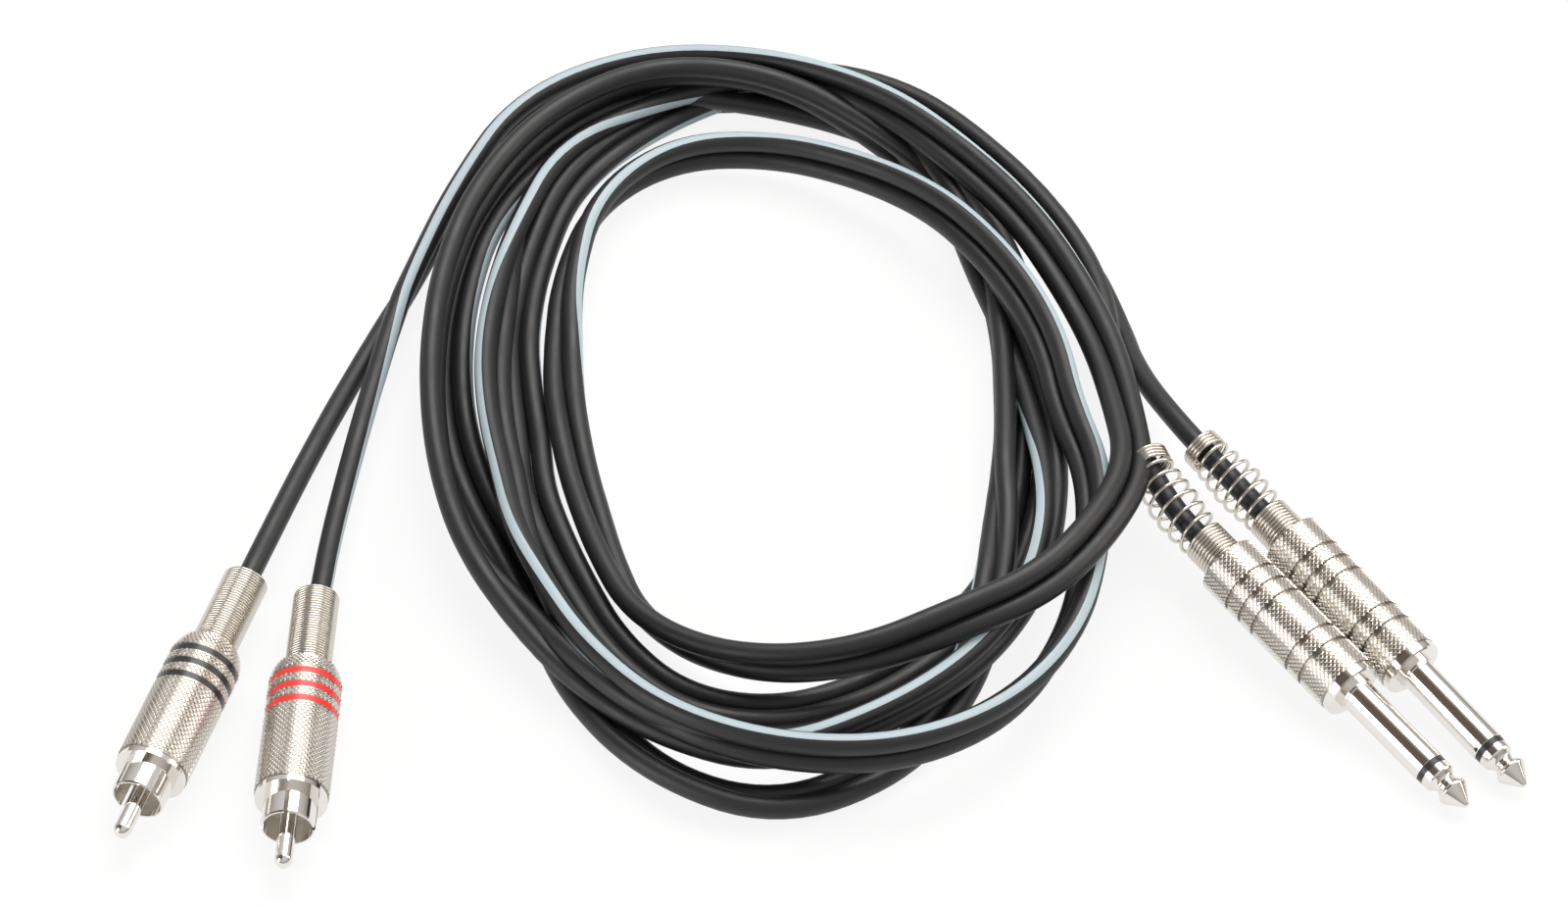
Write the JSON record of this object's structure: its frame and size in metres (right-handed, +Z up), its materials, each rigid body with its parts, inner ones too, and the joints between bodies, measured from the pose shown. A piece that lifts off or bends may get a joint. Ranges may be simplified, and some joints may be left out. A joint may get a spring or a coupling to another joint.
{
  "type": "instrument cable",
  "caption": "Loosely coiled twin black audio cord with phono plugs at one end and quarter-inch jack plugs at the other.",
  "frame": {"origin": "middle of the four plugs' bounding box, on the surface that the cable lies on", "axes": "+Z up, +X from the phono plugs towards the jack plugs, +Y from the plugs towards the coil's far side"},
  "size_m": [0.2486, 0.213, 0.0165],
  "materials": {
    "nickel_polished": "polished nickel plating on brass",
    "nickel_knurled": "nickel plating on knurled brass",
    "spring_nickel": "nickel-plated spring wire",
    "tinned_sheet": "tinned brass sheet",
    "core_wire": "bare copper strands",
    "black_insulator": "moulded black plastic",
    "phono_insulator": "pale moulded plastic",
    "liner_plastic": "thin plastic tube",
    "red_enamel": "red enamel",
    "black_enamel": "black enamel",
    "cord_jacket": "matt black flexible PVC"
  },
  "bodies": {
    "cable": {"cord_coil": "cord_jacket", "jack_1_cord_clamp": "tinned_sheet", "jack_1_insulator": "black_insulator", "jack_1_lead": "cord_jacket", "jack_1_rear_washer": "black_insulator", "jack_1_sleeve": "nickel_polished", "jack_1_tip": "nickel_polished", "jack_1_tip_lug": "tinned_sheet", "jack_1_wires": "core_wire", "jack_2_cord_clamp": "tinned_sheet", "jack_2_insulator": "black_insulator", "jack_2_lead": "cord_jacket", "jack_2_rear_washer": "black_insulator", "jack_2_sleeve": "nickel_polished", "jack_2_tip": "nickel_polished", "jack_2_tip_lug": "tinned_sheet", "jack_2_wires": "core_wire", "phono_black_centre_pin": "nickel_polished", "phono_black_contact_ring": "nickel_polished", "phono_black_cord_clamp": "tinned_sheet", "phono_black_insulator": "phono_insulator", "phono_black_lead": "cord_jacket", "phono_black_wires": "core_wire", "phono_red_centre_pin": "nickel_polished", "phono_red_contact_ring": "nickel_polished", "phono_red_cord_clamp": "tinned_sheet", "phono_red_insulator": "phono_insulator", "phono_red_lead": "cord_jacket", "phono_red_wires": "core_wire"},
    "phono_black_relief": {"phono_black_spring": "spring_nickel"},
    "phono_black_cover": {"phono_black_shell": "nickel_knurled", "phono_black_colour_bands": "black_enamel"},
    "phono_red_relief": {"phono_red_spring": "spring_nickel"},
    "phono_red_cover": {"phono_red_shell": "nickel_knurled", "phono_red_colour_bands": "red_enamel"},
    "jack_1_relief": {"jack_1_spring": "spring_nickel"},
    "jack_1_cover": {"jack_1_barrel": "nickel_knurled", "jack_1_liner": "liner_plastic"},
    "jack_2_relief": {"jack_2_spring": "spring_nickel"},
    "jack_2_cover": {"jack_2_barrel": "nickel_knurled", "jack_2_liner": "liner_plastic"}
  },
  "joints": [
    {"name": "phono_black_relief_slide", "type": "slide", "parent": "cable", "child": "phono_black_relief", "axis": [0.2874, 0.9578, 0], "range_m": [0, 0.0045]},
    {"name": "phono_black_shell_unscrew", "type": "hinge", "parent": "phono_black_relief", "child": "phono_black_cover", "pos_m": [-0.11112, -0.00445, 0.0065], "axis": [0.2874, 0.9578, 0], "range_deg": [0, 2160]},
    {"name": "phono_red_relief_slide", "type": "slide", "parent": "cable", "child": "phono_red_relief", "axis": [0.0297, 0.9996, 0], "range_m": [0, 0.0045]},
    {"name": "phono_red_shell_unscrew", "type": "hinge", "parent": "phono_red_relief", "child": "phono_red_cover", "pos_m": [-0.09215, -0.00949, 0.0065], "axis": [0.0297, 0.9996, 0], "range_deg": [0, 2160]},
    {"name": "jack_1_relief_slide", "type": "slide", "parent": "cable", "child": "jack_1_relief", "axis": [-0.6138, 0.782, 0.1086], "range_m": [0, 0.0045]},
    {"name": "jack_1_barrel_unscrew", "type": "hinge", "parent": "jack_1_relief", "child": "jack_1_cover", "pos_m": [0.0949, -0.00803, 0.00577], "axis": [-0.6138, 0.782, 0.1086], "range_deg": [0, 2160]},
    {"name": "jack_2_relief_slide", "type": "slide", "parent": "cable", "child": "jack_2_relief", "axis": [-0.5933, 0.7977, 0.1086], "range_m": [0, 0.0045]},
    {"name": "jack_2_barrel_unscrew", "type": "hinge", "parent": "jack_2_relief", "child": "jack_2_cover", "pos_m": [0.10613, -0.00308, 0.00577], "axis": [-0.5933, 0.7977, 0.1086], "range_deg": [0, 2160]}
  ],
  "couplings": [
    {"joint": "phono_black_shell_unscrew", "follows": "phono_black_relief_slide", "rad_per_m": 8377.6},
    {"joint": "phono_red_shell_unscrew", "follows": "phono_red_relief_slide", "rad_per_m": 8377.6},
    {"joint": "jack_1_barrel_unscrew", "follows": "jack_1_relief_slide", "rad_per_m": 8377.6},
    {"joint": "jack_2_barrel_unscrew", "follows": "jack_2_relief_slide", "rad_per_m": 8377.6}
  ]
}
